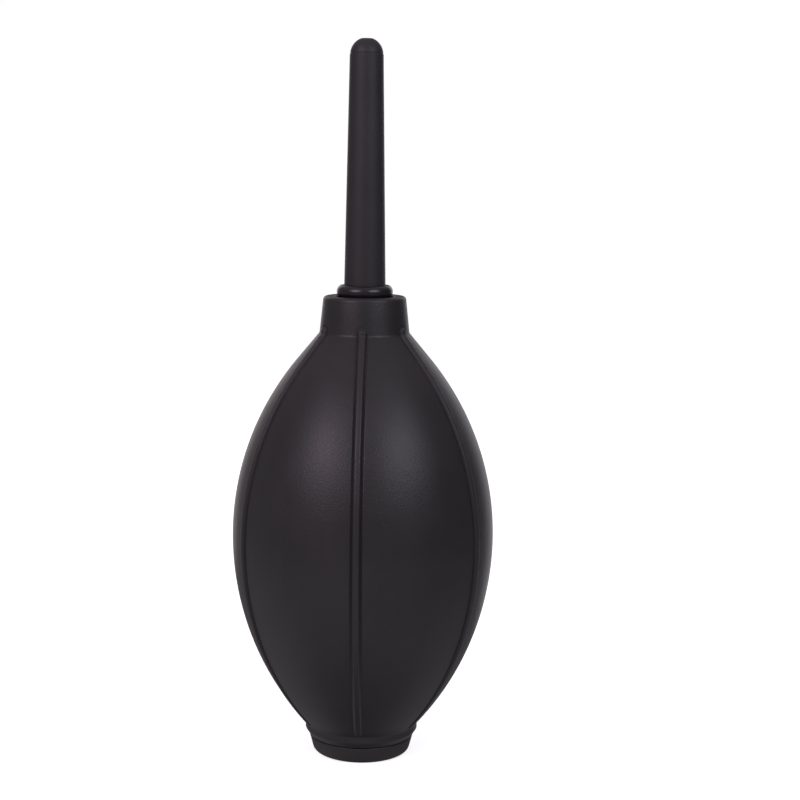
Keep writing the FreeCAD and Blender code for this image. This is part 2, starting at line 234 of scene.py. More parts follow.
class Field:
    """One output socket of a node tree, for writing the tree's maths as plain expressions."""

    def __init__(self, graph, socket):
        self.graph = graph
        self.socket = socket

    def __add__(self, other):
        return self.graph.maths("ADD", self, other)

    def __radd__(self, other):
        return self.graph.maths("ADD", other, self)

    def __sub__(self, other):
        return self.graph.maths("SUBTRACT", self, other)

    def __rsub__(self, other):
        return self.graph.maths("SUBTRACT", other, self)

    def __mul__(self, other):
        return self.graph.maths("MULTIPLY", self, other)

    def __rmul__(self, other):
        return self.graph.maths("MULTIPLY", other, self)

    def __truediv__(self, other):
        return self.graph.maths("DIVIDE", self, other)

    def __rtruediv__(self, other):
        return self.graph.maths("DIVIDE", other, self)

    def __pow__(self, other):
        return self.graph.maths("POWER", self, other)


class Graph:
    """A node tree. Its node method is the only place where nodes are made."""

    def __init__(self, tree):
        self.tree = tree

    def node(self, kind, settings, sockets, output=0):
        """Adds a node: its settings first, then the values or links of its sockets. Gives one output."""
        made = self.tree.nodes.new(kind)
        for name, value in settings.items():
            setattr(made, name, value)
        for key, value in sockets.items():
            if isinstance(value, Field):
                self.tree.links.new(value.socket, made.inputs[key])
            else:
                made.inputs[key].default_value = value
        return Field(self, made.outputs[output]) if len(made.outputs) else made

    def maths(self, operation, *values):
        """One step of arithmetic on fields and numbers."""
        return self.node("ShaderNodeMath", {"operation": operation}, dict(enumerate(values)))

    def ease(self, value, low, high, start=0.0, end=1.0):
        """Smooth step of a value from start, at low, to end, at high."""
        return self.node("ShaderNodeMapRange", {"interpolation_type": "SMOOTHSTEP"},
                         {0: value, 1: low, 2: high, 3: start, 4: end})

    def length(self, first, second):
        """Length of the hypotenuse over two sides."""
        return self.maths("SQRT", first * first + second * second)

    def parts(self, vector):
        """The three numbers of a vector."""
        split = self.node("ShaderNodeSeparateXYZ", {}, {0: vector})
        return [Field(self, socket) for socket in split.socket.node.outputs]

    def vector(self, x, y, z):
        """A vector from three numbers."""
        return self.node("ShaderNodeCombineXYZ", {}, {0: x, 1: y, 2: z})


class Builder(Graph):
    """A geometry node tree with named inputs, which ends in realized instances with a material."""

    def __init__(self, name):
        super().__init__(bpy.data.node_groups.new(name, "GeometryNodeTree"))
        self.tree.interface.new_socket("Geometry", in_out="OUTPUT", socket_type="NodeSocketGeometry")
        self.sockets = {}

    def inputs(self, *wanted):
        for name, kind in wanted:
            item = self.tree.interface.new_socket(name, in_out="INPUT", socket_type="NodeSocket" + kind)
            self.sockets[name] = item.identifier
        entry = self.tree.nodes.new("NodeGroupInput")
        return [Field(self, entry.outputs[name]) for name, kind in wanted]

    def turned_grid(self, outline, columns):
        """A flat grid with a row for each outline point, and each vertex's column, row and point."""
        rows = self.node("GeometryNodeAttributeDomainSize", {}, {"Geometry": outline}, "Point Count")
        grid = self.node("GeometryNodeMeshGrid", {}, {"Vertices X": columns, "Vertices Y": rows})
        index = self.node("GeometryNodeInputIndex", {}, {})
        # Half a step keeps the division clear of rounding.
        column = self.maths("FLOOR", (index + 0.5) / rows)
        row = index - column * rows
        place = self.node("GeometryNodeInputPosition", {}, {})
        return grid, column, row, self.sample(outline, "FLOAT_VECTOR", place, row)

    def sample(self, outline, kind, value, row):
        """A value of the outline at a row."""
        return self.node("GeometryNodeSampleIndex", {"data_type": kind, "clamp": True},
                         {"Geometry": outline, "Value": value, "Index": row})

    def carried(self, outline, name, row):
        """A named number that the outline's points carry, at a row."""
        named = self.node("GeometryNodeInputNamedAttribute", {"data_type": "FLOAT"}, {"Name": name})
        return self.sample(outline, "FLOAT", named, row)

    def marked(self, geometry, name, value):
        """The geometry with a named number on its points, for its material to read."""
        return self.node("GeometryNodeStoreNamedAttribute", {"data_type": "FLOAT", "domain": "POINT"},
                         {"Geometry": geometry, "Name": name, "Value": value})

    def placed(self, grid, radius, angle, height):
        """The grid with its vertices at cylindrical places, and its seams and poles closed."""
        x = radius * self.maths("COSINE", angle)
        y = radius * self.maths("SINE", angle)
        moved = self.node("GeometryNodeSetPosition", {},
                          {"Geometry": grid, "Position": self.vector(x, y, height)})
        return self.node("GeometryNodeMergeByDistance", {}, {"Geometry": moved, "Distance": MERGE_GAP})

    def finished(self, geometry, material):
        """Ends the tree: smooth shading, realized instances and the material."""
        smooth = self.node("GeometryNodeSetShadeSmooth", {}, {"Geometry": geometry, "Shade Smooth": True})
        whole = self.node("GeometryNodeRealizeInstances", {}, {"Geometry": smooth})
        coated = self.node("GeometryNodeSetMaterial", {}, {"Geometry": whole, "Material": material})
        leave = self.tree.nodes.new("NodeGroupOutput")
        self.tree.links.new(coated.socket, leave.inputs[0])


def turning_tree():
    """Tree that turns an outline about Z through a full circle."""
    build = Builder("Turned piece")
    outline, columns, material = build.inputs(("Outline", "Geometry"), ("Columns", "Int"),
                                              ("Material", "Material"))
    grid, column, row, point = build.turned_grid(outline, columns)
    radius, _, height = build.parts(point)  # the outline's middle number is always 0
    angle = FRONT + column * (2 * math.pi) / (columns - 1)
    build.finished(build.placed(grid, radius, angle, height), material)
    return build


def ribbed_tree():
    """Tree that turns the bulb's outline through half a circle, from one rib's crest to the opposite one.

    Each rib is a low bead between two grooves. Its height depends only on the distance from the rib's
    middle line, which also runs round the rib's upper end. So the grooves meet in an arch there.
    """
    build = Builder("Ribbed skin")
    (outline, start, ribs, columns, crest, foot, height, groove_centre, groove_reach, groove_depth, zone,
     material) = build.inputs(
        ("Outline", "Geometry"), ("Start angle", "Float"), ("Ribs", "Int"), ("Columns", "Int"),
        ("Crest", "Float"), ("Foot", "Float"), ("Height", "Float"), ("Groove centre", "Float"),
        ("Groove reach", "Float"), ("Groove depth", "Float"), ("Rib zone", "Float"),
        ("Material", "Material"))
    count = columns * ribs / 2 + 1
    grid, column, row, point = build.turned_grid(outline, count)
    radius, _, level = build.parts(point)

    # Columns stand close together over a rib and wide apart over the panels. Near the axis the rib's
    # strip narrows, so that there is always room for the panels.
    rib_columns = 0.62
    crowding = 1.3
    least_radius = zone * 3.2
    place = column / columns
    nearest = build.maths("ROUND", place)
    aside = place - nearest
    share_out = build.maths("ABSOLUTE", aside) * 2
    half_sector = math.pi / ribs
    in_zone = build.maths("MINIMUM", share_out / rib_columns, 1.0) ** crowding
    past_zone = build.maths("MAXIMUM", (share_out - rib_columns) / (1 - rib_columns), 0.0)
    zone_angle = zone / build.maths("MAXIMUM", radius, least_radius)
    offset = in_zone * zone_angle + past_zone * (half_sector - zone_angle)
    side = build.maths("SIGN", aside)
    angle = start + nearest * (2 * math.pi) / ribs + side * offset

    # Distance from the rib's middle line, widened where the ribs flare. The crest falls a little to its
    # sides.
    crown_fall = 0.22
    across = offset * radius
    beyond = build.carried(outline, "beyond", row)
    wide = build.carried(outline, "wide", row)
    away = build.length(across, beyond) / wide
    bead = build.ease(away, crest, foot, 1.0, 0.0)
    crown = 1 - crown_fall * (build.maths("MINIMUM", away / foot, 1.0) ** 2)
    from_groove = build.maths("ABSOLUTE", away - groove_centre)
    hollow = build.ease(from_groove, 0.0, groove_reach, 1.0, 0.0)
    strength = build.carried(outline, "ribbed", row)

    # The front and back ribs, the first and last of this half, lie on the mould's parting line. Their
    # grooves die away downwards.
    nearly_at_end = 0.9
    from_side_rib = build.maths("ABSOLUTE", nearest * 4 / ribs - 1)
    on_seam = build.maths("GREATER_THAN", from_side_rib, nearly_at_end)
    kept = 1 - on_seam * (1 - build.carried(outline, "seam_depth", row))
    cut = kept * build.carried(outline, "grooved", row)
    rise = strength * (height * bead * crown - groove_depth * cut * hollow)
    lean_out = build.carried(outline, "normal_r", row)
    lean_up = build.carried(outline, "normal_z", row)

    # The material paints shade into a strip a little wider than each groove. The painted shade is full from
    # a third of a rib's strength.
    painted_shade_reach = groove_reach * 1.2
    shown = kept * build.maths("MINIMUM", strength * 3, 1.0)
    # The first mark is where the material paints a highlight on the crests, the second where it paints shade in
    # the grooves.
    grid = build.marked(grid, "rib_crest", strength * bead)
    grid = build.marked(grid, "rib_groove", shown * build.ease(from_groove, 0.0, painted_shade_reach, 1.0, 0.0))
    shaped = build.placed(grid, radius + rise * lean_out, angle, level + rise * lean_up)
    build.finished(shaped, material)
    return build


def perforating_tree(rings):
    """Tree that cuts rings of holes through a piece. A ring is (name of its radius input, hole count)."""
    build = Builder("Perforated piece")
    fields = build.inputs(("Piece", "Geometry"), ("Hole radius", "Float"), ("Depth", "Float"),
                          ("Middle height", "Float"), ("Material", "Material"),
                          *((name, "Float") for name, count in rings))
    piece, hole_radius, depth, middle, material = fields[:5]
    cutter = build.node("GeometryNodeMeshCylinder", {},
                        {"Vertices": 24, "Radius": hole_radius, "Depth": depth})
    for (_, count), ring_radius in zip(rings, fields[5:]):
        if count > 1:
            ring = build.node("GeometryNodeMeshCircle", {}, {"Vertices": count, "Radius": ring_radius})
        else:
            ring = build.node("GeometryNodeMeshLine", {}, {"Count": 1})
        raised = build.node("GeometryNodeTransform", {},
                            {"Geometry": ring, "Translation": build.vector(0.0, 0.0, middle)})
        drills = build.node("GeometryNodeInstanceOnPoints", {}, {"Points": raised, "Instance": cutter})
        solid = build.node("GeometryNodeRealizeInstances", {}, {"Geometry": drills})
        piece = build.node("GeometryNodeMeshBoolean", {"operation": "DIFFERENCE", "solver": "EXACT"},
                           {"Mesh 1": piece, "Mesh 2": solid})
    build.finished(piece, material)
    return build


# ---------------------------------------------------------------- outlines of (radius, height) points


def arc_points(centre_r, centre_z, radius, start, end, pieces):
    """Points of an arc from one angle to another, in degrees from straight outwards."""
    points = []
    for index in range(pieces + 1):
        angle = math.radians(start + (end - start) * index / pieces)
        points.append((centre_r + radius * math.cos(angle), centre_z + radius * math.sin(angle)))
    return points


def rounded(corners, pieces=6):
    """Points of an outline whose corners are (radius, height, rounding), each rounding an arc."""
    points = []
    for index, (r, z, rounding) in enumerate(corners):
        if not rounding or index in (0, len(corners) - 1):
            points.append((r, z))
            continue
        here = Vector((r, z))
        back = (Vector(corners[index - 1][:2]) - here).normalized()
        ahead = (Vector(corners[index + 1][:2]) - here).normalized()
        half = back.angle(ahead) / 2
        centre = here + (back + ahead).normalized() * rounding / math.sin(half)
        first = here + back * rounding / math.tan(half) - centre
        last = here + ahead * rounding / math.tan(half) - centre
        turn = first.angle_signed(last)
        for step in range(pieces + 1):
            spoke = first.copy()
            spoke.rotate(Matrix.Rotation(-turn * step / pieces, 2))
            points.append(tuple(centre + spoke))
    return points


def refined(points, low, high, step):
    """The same outline with its segments between two heights cut to at most one step."""
    out = [points[0]]
    for (r0, z0), (r1, z1) in zip(points, points[1:]):
        pieces = 1
        if low < (z0 + z1) / 2 < high:
            pieces = max(1, math.ceil(math.hypot(r1 - r0, z1 - z0) / step))
        out += [(r0 + (r1 - r0) * k / pieces, z0 + (z1 - z0) * k / pieces) for k in range(1, pieces + 1)]
    return out


def outline_object(name, points, numbers=None):
    """An object whose mesh is the outline, with named numbers on its points, ready for a node tree."""
    mesh = bpy.data.meshes.new(name)
    mesh.from_pydata([(r, 0.0, z) for r, z in points], [(k, k + 1) for k in range(len(points) - 1)], [])
    for key, values in (numbers or {}).items():
        mesh.attributes.new(key, "FLOAT", "POINT").data.foreach_set("value", values)
    made = bpy.data.objects.new(name, mesh)
    bpy.context.scene.collection.objects.link(made)
    return made


def baked(made, builder, values):
    """Runs a node tree on an object and leaves the result as its plain mesh."""
    modifier = made.modifiers.new(builder.tree.name, "NODES")
    modifier.node_group = builder.tree
    for name, value in values.items():
        modifier[builder.sockets[name]] = value
    bpy.context.view_layer.update()
    evaluated = made.evaluated_get(bpy.context.evaluated_depsgraph_get())
    mesh = bpy.data.meshes.new_from_object(evaluated)
    made.modifiers.clear()
    made.data = mesh
    mesh.name = made.name
    return made


def closed(made):
    """Fills a mesh's open loops, points its faces outwards and marks its hard edges."""
    work = bmesh.new()
    work.from_mesh(made.data)
    rims = [edge for edge in work.edges if edge.is_boundary]
    if rims:
        bmesh.ops.holes_fill(work, edges=rims, sides=0)
    bmesh.ops.recalc_face_normals(work, faces=work.faces)
    if work.calc_volume(signed=True) < 0:
        bmesh.ops.reverse_faces(work, faces=work.faces)
    work.to_mesh(made.data)
    work.free()
    made.data.shade_smooth()
    made.data.set_sharp_from_angle(angle=HARD_EDGE)
    return made


def turned(name, points, material, columns=96):
    """A closed piece turned from an outline."""
    made = outline_object(name, points)
    baked(made, trees()["turned"], {"Columns": columns + 1, "Material": material})
    return closed(made)


TREES = {}


def trees():
    """The node trees, built on first use."""
    if not TREES:
        TREES["turned"] = turning_tree()
        TREES["ribbed"] = ribbed_tree()
        TREES["ports"] = perforating_tree([("Port circle", bpy.context.scene.blower_plug.port_count)])
        TREES["grille"] = perforating_tree([("Centre", 1), ("Inner ring", 6), ("Outer ring", 12)])
    return TREES


# ---------------------------------------------------------------- materials


class Shader(Graph):
    """The node tree of a material, with one principled shader."""

    def __init__(self, name):
        self.material = bpy.data.materials.new(name)
        self.material.use_nodes = True
        super().__init__(self.material.node_tree)
        self.tree.nodes.clear()
        self.surface = self.tree.nodes.new("ShaderNodeBsdfPrincipled")
        self.exit = self.tree.nodes.new("ShaderNodeOutputMaterial")
        self.tree.links.new(self.surface.outputs[0], self.exit.inputs[0])
        self.place = self.node("ShaderNodeTexCoord", {}, {}, "Object")

    def set(self, **values):
        """Sets or links sockets of the principled shader, named with underscores for spaces."""
        for key, value in values.items():
            socket = self.surface.inputs[key.replace("_", " ")]
            if isinstance(value, Field):
                self.tree.links.new(value.socket, socket)
            else:
                socket.default_value = value

    def noise(self, scale, detail=2.0, roughness=0.5, distortion=0.0, stretch=(1.0, 1.0, 1.0)):
        """Noise from 0 to 1, with its scale in features per metre."""
        place = self.node("ShaderNodeMapping", {}, {"Vector": self.place, "Scale": stretch})
        return self.node("ShaderNodeTexNoise", {}, {"Vector": place, "Scale": scale, "Detail": detail,
                                                    "Roughness": roughness, "Distortion": distortion})

    def cells(self, scale):
        """Distance in a field of cells, with its scale in cells per metre."""
        return self.node("ShaderNodeTexVoronoi", {}, {"Vector": self.place, "Scale": scale})

    def blended(self, factor, first, second):
        """A colour between two, by a factor."""
        return self.node("ShaderNodeMix", {"data_type": "RGBA"}, {0: factor, 6: first, 7: second}, 2)

    def bump(self, height, distance, strength=1.0, under=None):
        """A surface normal tilted by a height, on top of the one under it."""
        sockets = {"Height": height, "Distance": distance, "Strength": strength}
        if under is not None:
            sockets["Normal"] = under
        return self.node("ShaderNodeBump", {}, sockets)

    def carried(self, name):
        """A named number that the piece's points carry."""
        return self.node("ShaderNodeAttribute", {"attribute_name": name}, {}, "Fac")

    def height(self):
        """Height above the resting face."""
        return self.parts(self.place)[2]


def tint(colour_value, factor=1.0):
    """A shader colour from a setting, made lighter or darker."""
    return (*(channel * factor for channel in colour_value), 1.0)


def moulded_silicone(name, base, grain, roughness, sheen):
    """Matte moulded silicone: a blasted mould's fine grain, faint flow clouds and a trace of dust.

    The rib crests carry a painted highlight, and the rib grooves carry painted shade.
    """
    shade = Shader(name)
    dust = tint((0.30, 0.29, 0.28))
    crest, groove = shade.carried("rib_crest"), shade.carried("rib_groove")

    # Colour: clouds and drawn-out streaks, a painted highlight on the crests, painted shade in the grooves,
    # # a few specks of dust.
    clouds = shade.noise(90.0, detail=3.0, roughness=0.55, distortion=0.4)
    streaks = shade.noise(160.0, detail=3.0, roughness=0.6, distortion=0.2, stretch=(1.0, 1.0, 0.18))
    mottle = 0.6 * clouds + 0.4 * streaks
    specks = shade.ease(shade.noise(2600.0, detail=1.0), 0.70, 0.78)
    plain = shade.blended(shade.ease(mottle, 0.3, 0.7), tint(base, 0.88), tint(base, 1.12))
    # Painted highlight: the rib crests are painted paler where they catch the light.
    worn = shade.blended(crest * 0.25, plain, tint(base, 1.7))
    # Painted shade: the grooves are painted darker where shade falls in them.
    groove_shaded = shade.blended(groove * 0.8, worn, tint(base, 0.42))
    dusted = shade.blended(specks * 0.03, groove_shaded, dust)

    # Surface: fine grain and pits over a broad, shallow unevenness.
    fine = shade.noise(3400.0, roughness=0.6)
    skin = 0.6 * fine + 0.4 * shade.cells(2100.0)
    broad = shade.bump(shade.noise(220.0), 0.05 * MM, 0.5)
    uneven = roughness + 0.10 * (mottle - 0.5) + 0.05 * (fine - 0.5)
    shade.set(Base_Color=dusted, Roughness=uneven + 0.30 * groove,
              Normal=shade.bump(skin, grain, 1.0, broad), Sheen_Weight=sheen, Sheen_Roughness=0.35,
              Specular_IOR_Level=0.42)
    return shade.material


def polished_plastic(name, base):
    """Glossy moulded plastic with fine handling marks."""
    shade = Shader(name)
    marks = shade.noise(900.0, detail=4.0, roughness=0.7, distortion=0.6, stretch=(1.0, 1.0, 3.0))
    shade.set(Base_Color=shade.blended(marks, tint(base, 0.85), tint(base, 1.2)),
              Roughness=0.27 + 0.14 * shade.ease(marks, 0.5, 0.75),
              Normal=shade.bump(shade.noise(500.0), 0.02 * MM, 0.6))
    return shade.material


def matte_plastic(name, base, roughness=0.5):
    """Matte moulded plastic with spark-eroded grain, lighter and worn near the resting face."""
    shade = Shader(name)
    scuffed = tint((0.10, 0.10, 0.10))
    grain = shade.cells(2600.0)
    cloud = shade.noise(240.0, detail=3.0)
    low_wear = shade.ease(shade.height(), 0.1 * MM, 1.1 * MM, 1.0, 0.0)
    rubbed = shade.noise(1500.0, detail=3.0, roughness=0.7, stretch=(1.0, 1.0, 4.0))
    scuffs = low_wear * shade.ease(rubbed, 0.48, 0.62)
    plain = shade.blended(cloud, tint(base, 0.85), tint(base, 1.15))
    shade.set(Base_Color=shade.blended(scuffs * 0.35, plain, scuffed),
              Roughness=roughness + 0.12 * (cloud - 0.5) + 0.1 * scuffs,
              Normal=shade.bump(0.7 * grain + 0.3 * cloud, 0.03 * MM, 0.8))
    return shade.material


def soft_valve_silicone(name, base):
    """Milky silicone of the thin valve disc."""
    shade = Shader(name)
    cloud = shade.noise(400.0, detail=3.0)
    shade.set(Base_Color=shade.blended(cloud, tint(base, 0.9), tint(base, 1.1)),
              Roughness=0.38 + 0.1 * cloud, Normal=shade.bump(shade.noise(1800.0), 0.01 * MM, 0.8),
              Subsurface_Weight=0.25, Subsurface_Scale=0.5 * MM)
    return shade.material


def felt(name, base):
    """Pressed fibres of the dust filter."""
    shade = Shader(name)
    fibres = shade.noise(2400.0, detail=5.0, roughness=0.75, distortion=1.6, stretch=(1.0, 1.0, 3.0))
    shade.set(Base_Color=shade.blended(shade.ease(fibres, 0.3, 0.7), tint(base, 0.7), tint(base, 1.15)),
              Roughness=0.85 + 0.1 * fibres, Normal=shade.bump(fibres, 0.12 * MM, 0.9))
    return shade.material


FINISHES = {}


def finish(slot):
    """The material of a slot, made on first use."""
    look = bpy.context.scene.blower_finish
    makers = {
        "bulb_silicone": lambda name: moulded_silicone(name, look.bulb, 0.030 * MM, 0.42, 0.06),
        "nozzle_silicone": lambda name: moulded_silicone(name, look.nozzle, 0.014 * MM, 0.50, 0.06),
        "ferrule_plastic": lambda name: polished_plastic(name, look.ferrule),
        "plug_plastic": lambda name: matte_plastic(name, look.plug),
        "cage_plastic": lambda name: matte_plastic(name, look.plug, 0.42),
        "valve_silicone": lambda name: soft_valve_silicone(name, look.valve),
        "filter_felt": lambda name: felt(name, look.felt),
    }
    if slot not in FINISHES:
        FINISHES[slot] = makers[slot](slot)
    return FINISHES[slot]


# ---------------------------------------------------------------- the bulb


def body_point(shape, height, offset=0.0):
    """Radius and height of the bulb's outline, moved outwards by an offset along its arc's radius."""
    arc = shape.upper_arc_radius if height >= shape.equator_height else shape.lower_arc_radius
    level = min(height, shape.shoulder_height)
    rise = (level - shape.equator_height) / arc
    run = math.sqrt(1 - rise * rise)
    past = height - level
    return (shape.body_radius - arc + (arc + offset) * run - past * rise / run,
            shape.equator_height + (arc + offset) * rise + past)


def body_height(shape, radius, upper, offset=0.0):
    """Height on the upper or lower outline of the point whose offset copy stands at a radius."""
    reach = 0.9 * shape.lower_arc_radius
    halvings = 40
    inner = shape.equator_height
    outer = inner + (reach if upper else -reach)
    for _ in range(halvings):
        middle = (inner + outer) / 2
        if body_point(shape, middle, offset)[0] > radius:
            inner = middle
        else:
            outer = middle
    return middle


def body_stretch(shape, start, end, step, offset=0.0):
    """Points of the body's outline from one height to another, about one step apart."""
    pieces = max(2, round(abs(end - start) / step))
    return [body_point(shape, start + (end - start) * k / pieces, offset) for k in range(pieces + 1)]


def bulb_outline(shape):
    """The outside of the moulding from the mouth up to the bore, and then the inside back down."""
    rim_lift = 0.25 * MM
    rim = cad_top("bulb_shell") + rim_lift
    root = body_height(shape, shape.neck_root_radius, True)
    collar_top = body_height(shape, shape.collar_radius, False)
    margin = 1.4 * MM  # room for the roundings at the body's two ends
    body_step, end_step, inside_step = 1.0 * MM, 0.16 * MM, 4.0 * MM
    lip_bevel, lip_rise = 0.85 * MM, 1.3 * MM
    neck_bend = 0.4  # share of the neck's height at which its outline has a point
    lower_end = body_point(shape, collar_top + margin)
    upper_end = body_point(shape, root - margin)
    foot = rounded([
        (shape.mouth_radius, shape.collar_lip, 0),
        (shape.collar_radius - lip_bevel, shape.collar_lip, 0.25 * MM),
        (shape.collar_radius, shape.collar_lip + lip_rise, 0.25 * MM),
        (*body_point(shape, collar_top), 1.3 * MM),
        (*lower_end, 0),
    ])
    body = body_stretch(shape, collar_top + margin, root - margin, body_step)
    neck = rounded([
        (*upper_end, 0),
        (*body_point(shape, root), shape.neck_root_rounding),
        (shape.neck_root_radius + (shape.neck_top_radius - shape.neck_root_radius) * neck_bend,
         root + (rim - root) * neck_bend, 0),
        (shape.neck_top_radius, rim, shape.rim_rounding),
        (shape.recess_radius, rim, 0.35 * MM),
        (shape.recess_radius - 0.1 * MM, rim - shape.recess_depth, 0.3 * MM),
        (shape.bore_radius, rim - shape.recess_depth, 0.15 * MM),
        (shape.bore_radius, rim - 2 * shape.recess_depth, 0),
    ], 8)
    outside = foot[:-1] + body + neck[1:]
    ceiling = body_height(shape, shape.bore_radius, True, -shape.wall)
    ledge_drop = 0.985  # of the way down from the widest point to the mouth's top
    ledge = shape.equator_height - (shape.equator_height - shape.mouth_top) * ledge_drop
    inside = body_stretch(shape, ceiling, ledge, inside_step, -shape.wall)
    inside += [(shape.mouth_radius, inside[-1][1]), (shape.mouth_radius, shape.collar_lip)]
    # The rows are finest where the ribs end.
    outside = refined(outside, root - 4.5 * MM, root + 3.0 * MM, end_step)
    outside = refined(outside, collar_top - 0.6 * MM, collar_top + 1.6 * MM, end_step)
    return outside, inside, collar_top, root


def rib_numbers(ribs, outside, inside, collar_top, root):
    """The named numbers that the ribbed tree reads at each outline point."""
    run = [0.0]
    for (r0, z0), (r1, z1) in zip(outside, outside[1:]):
        run.append(run[-1] + math.hypot(r1 - r0, z1 - z0))

    def reached(height):
        """Distance along the outline to its first point above a height."""
        return next(along for along, (_, z) in zip(run, outside) if z > height)

    nose, tail, corner = reached(ribs.nose_height), reached(collar_top + 0.6 * MM), reached(root)
    tail_squash = 3  # the lower ends are this much blunter than the round upper ones
    faint = 0.45  # height of a rib at the collar, as a share of its full height
    neck_loss = 0.65  # share of the grooves' depth that is lost on the neck
    seam_low, seam_loss = 0.25, 0.35  # front and back grooves: share kept below, share lost at the neck
    rows = []
    for index, (along, (_, z)) in enumerate(zip(run, outside)):
        before = Vector(outside[max(index - 1, 0)])
        after = Vector(outside[min(index + 1, len(outside) - 1)])
        tangent = (after - before).normalized()
        on_body = along < nose + 4 * MM and z < ribs.nose_height + 3 * MM
        growth = faint + (1 - faint) * eased(z, collar_top, collar_top + 24 * MM)
        flare = ribs.flare * eased(z, ribs.nose_height - 14 * MM, ribs.nose_height - 1 * MM)
        seam = ((seam_low + (1 - seam_low) * eased(z, 10 * MM, 60 * MM))
                * (1 - seam_loss * eased(z, 78 * MM, 89 * MM)))
        rows.append({
            "beyond": max(along - nose, 0.0, (tail - along) * tail_squash),
            "wide": 1 + flare,
            "ribbed": growth if on_body else 0.0,
            "grooved": 1 - neck_loss * eased(along, corner - 0.3 * MM, corner + 0.5 * MM),
            "seam_depth": seam,
            "normal_r": tangent.y,
            "normal_z": -tangent.x,
        })
    smooth = {key: 1.0 if key == "wide" else 0.0 for key in rows[0]}
    rows += [smooth] * len(inside)
    return {key: [row[key] for row in rows] for key in smooth}


def eased(value, low, high):
    """Smooth step of a number from 0, at low, to 1, at high."""
    t = min(max((value - low) / (high - low), 0.0), 1.0)
    return t * t * (3 - 2 * t)


class BLOWER_OT_bulb(bpy.types.Operator):
    """Build the bulb's ribbed silicone skin in two halves"""

    bl_idname = "blower.build_bulb"
    bl_label = "Build Bulb"

    def execute(self, context):
        shape, ribs = context.scene.blower_bulb, context.scene.blower_ribs
        outside, inside, collar_top, root = bulb_outline(shape)
        numbers = rib_numbers(ribs, outside, inside, collar_top, root)
        for side, start in (("right", FRONT), ("left", FRONT + math.pi)):
            skin = outline_object(f"bulb_skin_{side}", outside + inside, numbers)
            baked(skin, trees()["ribbed"], {
                "Start angle": start, "Ribs": ribs.count, "Columns": ribs.columns, "Crest": ribs.crest,
                "Foot": ribs.foot, "Height": ribs.height, "Groove centre": ribs.groove_centre,
                "Groove reach": ribs.groove_reach, "Groove depth": ribs.groove_depth,
                "Rib zone": ribs.zone, "Material": finish("bulb_silicone")})
            closed(skin)
            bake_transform(skin)
            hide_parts("bulb_shell", f"{side}_grip_wall")
        return {"FINISHED"}


# ---------------------------------------------------------------- the ferrule and the nozzle


def ferrule_outline(shape, recess_floor):
    """The ferrule's section: bore, barb, shank, step, round bead, pocket and hollow stem."""
    low = cad_bottom("neck_ferrule")
    bead_top = shape.bead_height + shape.bead_rise
    top = cad_top("neck_ferrule")
    barb_end, barb_radius, barb_top = 4.6 * MM, 5.8 * MM, low + 4 * MM
    pocket, pocket_floor, pocket_edge = 4.53 * MM, bead_top - 2.3 * MM, bead_top - 0.12 * MM
    step_top = shape.bead_height - 0.95 * shape.bead_rise
    outer = rounded([
        (shape.bore_radius, low, 0), (barb_end, low, 0.3 * MM), (barb_radius, barb_top, 0.2 * MM),
        (shape.shank_radius, barb_top, 0), (shape.shank_radius, recess_floor, 0),
        (shape.step_radius, recess_floor, 0.2 * MM), (shape.step_radius, step_top, 0)])
    taller = shape.bead_rise / shape.bead_radius
    bead = [(r, shape.bead_height + z * taller)
            for r, z in arc_points(shape.bead_centre_radius, 0.0, shape.bead_radius, -68, 111, 32)]
    inner = rounded([
        (pocket, pocket_edge, 0), (pocket, pocket_floor, 0.1 * MM),
        (shape.stem_radius, pocket_floor, 0), (shape.stem_radius, top, 0.25 * MM),
        (shape.bore_radius, top, 0.15 * MM), (shape.bore_radius, low, 0)])
    return outer + bead + inner


class BLOWER_OT_ferrule(bpy.types.Operator):
    """Build the glossy ferrule with its round bead"""

    bl_idname = "blower.build_ferrule"
    bl_label = "Build Ferrule"

    def execute(self, context):
        foot_above_recess = 2.25 * MM
        recess_floor = cad_bottom("nozzle_foot") - foot_above_recess
        points = ferrule_outline(context.scene.blower_ferrule, recess_floor)
        piece = turned("ferrule_bead", points, finish("ferrule_plastic"), 128)
        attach(piece, "nozzle_root")
        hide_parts("neck_ferrule")
        return {"FINISHED"}


def nozzle_radius(shape, height):
    """Outer radius of the nozzle at a height."""
    return shape.foot_radius - shape.taper * (height - cad_bottom("nozzle_foot"))


def sleeve_outline(shape, low, high):
    """Section of a length of the nozzle, from its bore out and up."""
    rows = max(2, round((high - low) / shape.row_step))
    levels = [low + (high - low) * k / rows for k in range(rows + 1)]
    outer = [(nozzle_radius(shape, z), z) for z in levels]
    inner = [(shape.bore_share * nozzle_radius(shape, z), z) for z in (high, low)]
    return [inner[1]] + outer + inner


